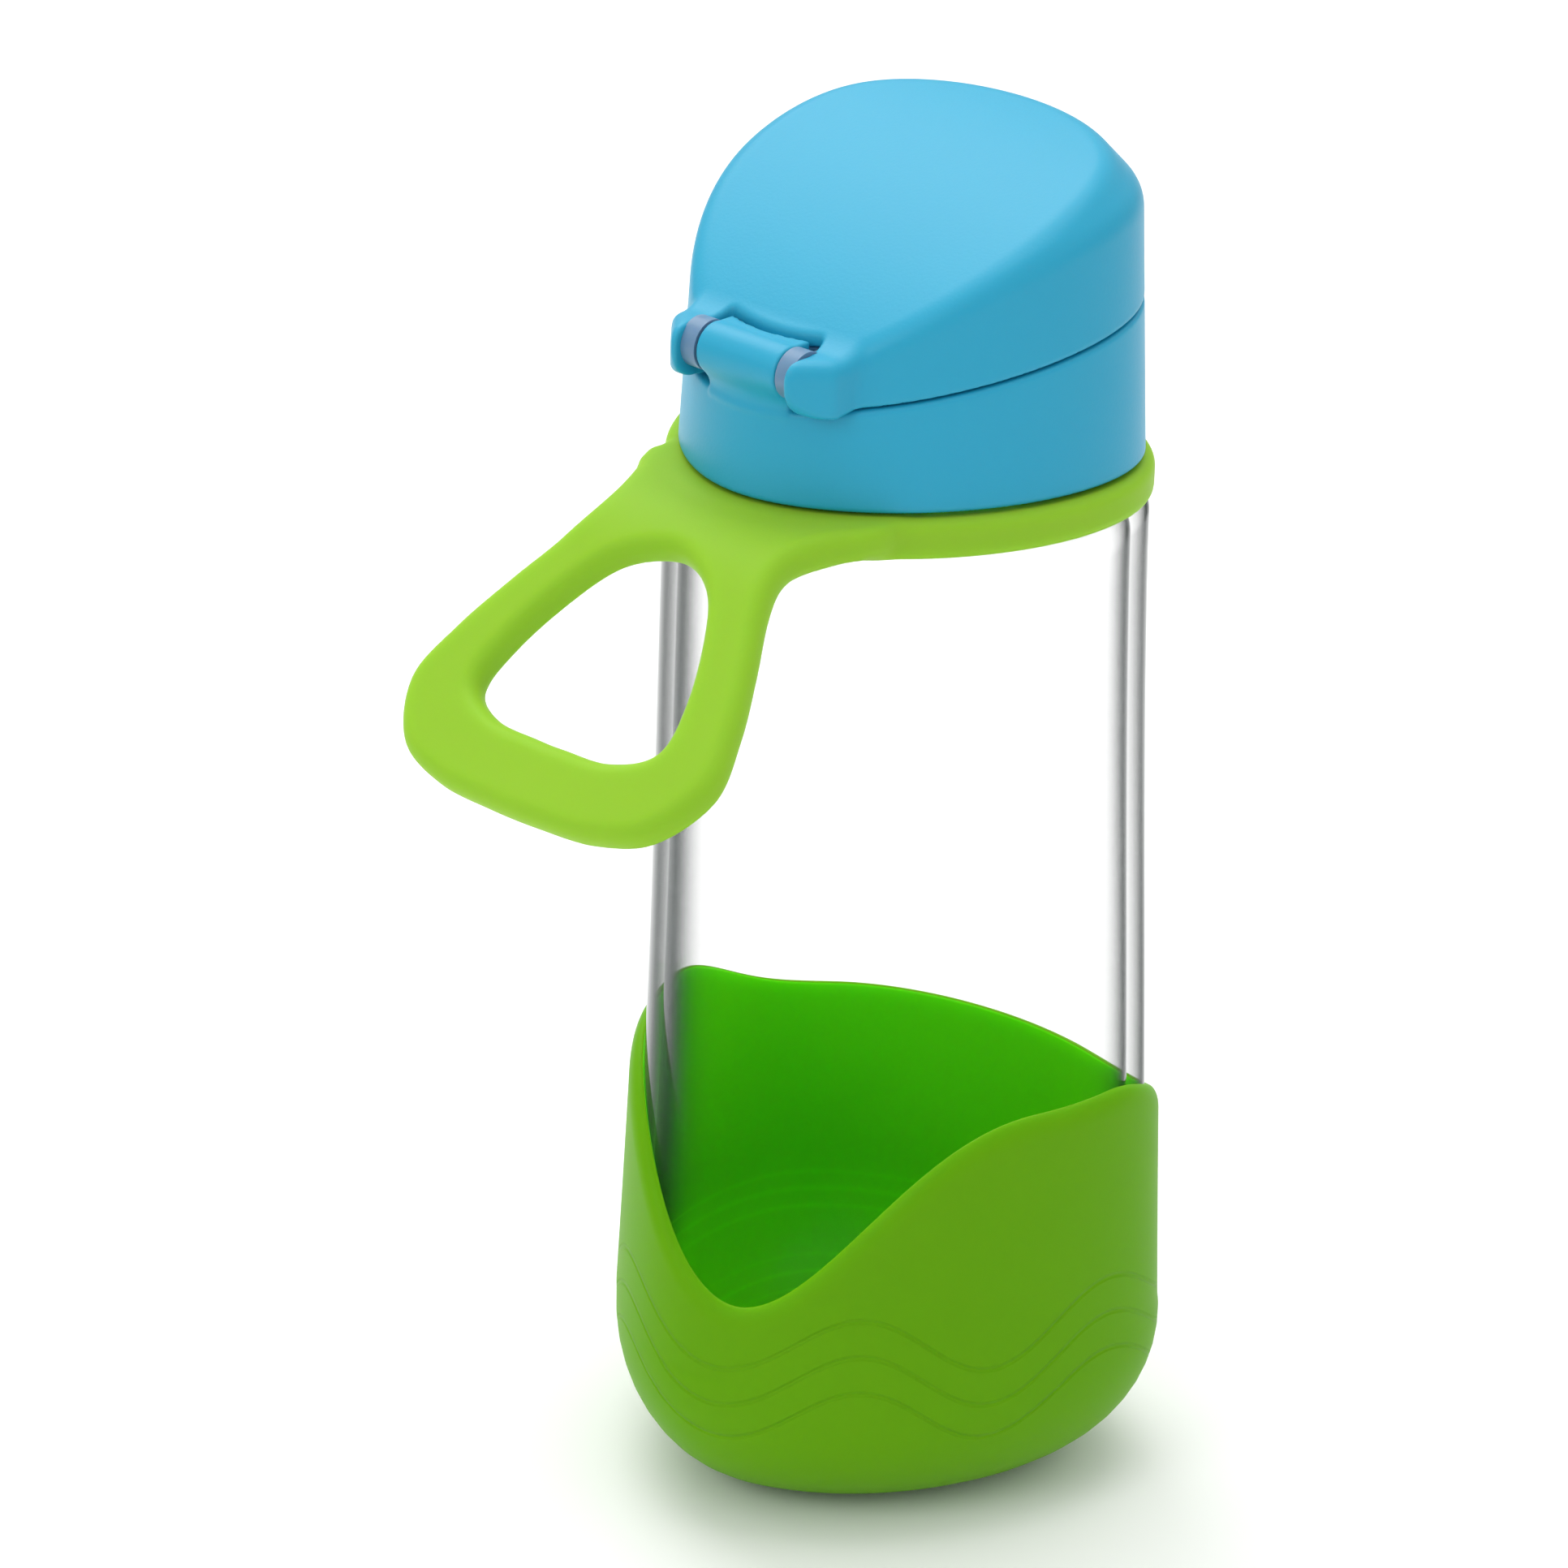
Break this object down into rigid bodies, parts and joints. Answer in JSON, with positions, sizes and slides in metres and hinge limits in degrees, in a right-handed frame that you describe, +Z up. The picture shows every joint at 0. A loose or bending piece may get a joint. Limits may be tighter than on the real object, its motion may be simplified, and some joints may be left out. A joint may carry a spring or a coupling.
{
  "type": "water bottle",
  "caption": "Child's sport bottle: clear rounded-triangle body in a soft boot, neck strap with carry loop, screw collar and wedge flip lid over a soft spout.",
  "frame": {"origin": "centre of the flat underside of the boot, on the axis of the neck", "axes": "+Z up along the axis of the neck; -Y towards the hinge and the carry loop; +X to the right seen from the loop side"},
  "size_m": [0.0768, 0.1119, 0.1954],
  "materials": {
    "clear": "clear, polished",
    "silicone_green": "satin silicone",
    "blue_plastic": "satin moulded",
    "liner_plastic": "translucent moulded",
    "silicone_clear": "matt silicone",
    "pin_steel": "drawn"
  },
  "bodies": {
    "bottle": {"bottle_body": "clear", "base_boot": "silicone_green"},
    "strap": {"strap_ring": "silicone_green"},
    "loop": {"strap_loop": "silicone_green"},
    "gasket": {"neck_gasket": "silicone_clear"},
    "cap": {"screw_collar": "blue_plastic", "spout": "silicone_clear", "vent_valve": "silicone_clear"},
    "lid": {"flip_lid": "blue_plastic", "lid_liner": "liner_plastic", "hinge_pin": "pin_steel", "lid_seal": "silicone_clear"}
  },
  "joints": [
    {"name": "collar_lift", "type": "slide", "parent": "bottle", "child": "gasket", "axis": [0, 0, 1], "range_m": [0, 0.01]},
    {"name": "collar_turn", "type": "hinge", "parent": "gasket", "child": "cap", "pos_m": [0, 0, 0.152], "axis": [0, 0, 1], "range_deg": [0, 900]},
    {"name": "lid_hinge", "type": "hinge", "parent": "cap", "child": "lid", "pos_m": [0, -0.0306, 0.1704], "axis": [1, 0, 0], "range_deg": [0, 125]},
    {"name": "strap_swivel", "type": "hinge", "parent": "bottle", "child": "strap", "pos_m": [0, 0, 0.149], "axis": [0, 0, 1], "continuous": true},
    {"name": "strap_flex", "type": "hinge", "parent": "strap", "child": "loop", "pos_m": [0, -0.04146, 0.14768], "axis": [1, 0, 0], "range_deg": [-35, 30], "stiffness_Nm_per_rad": 0.15}
  ],
  "couplings": [
    {"joint": "collar_lift", "follows": "collar_turn", "m_per_rad": 0.00063662}
  ]
}
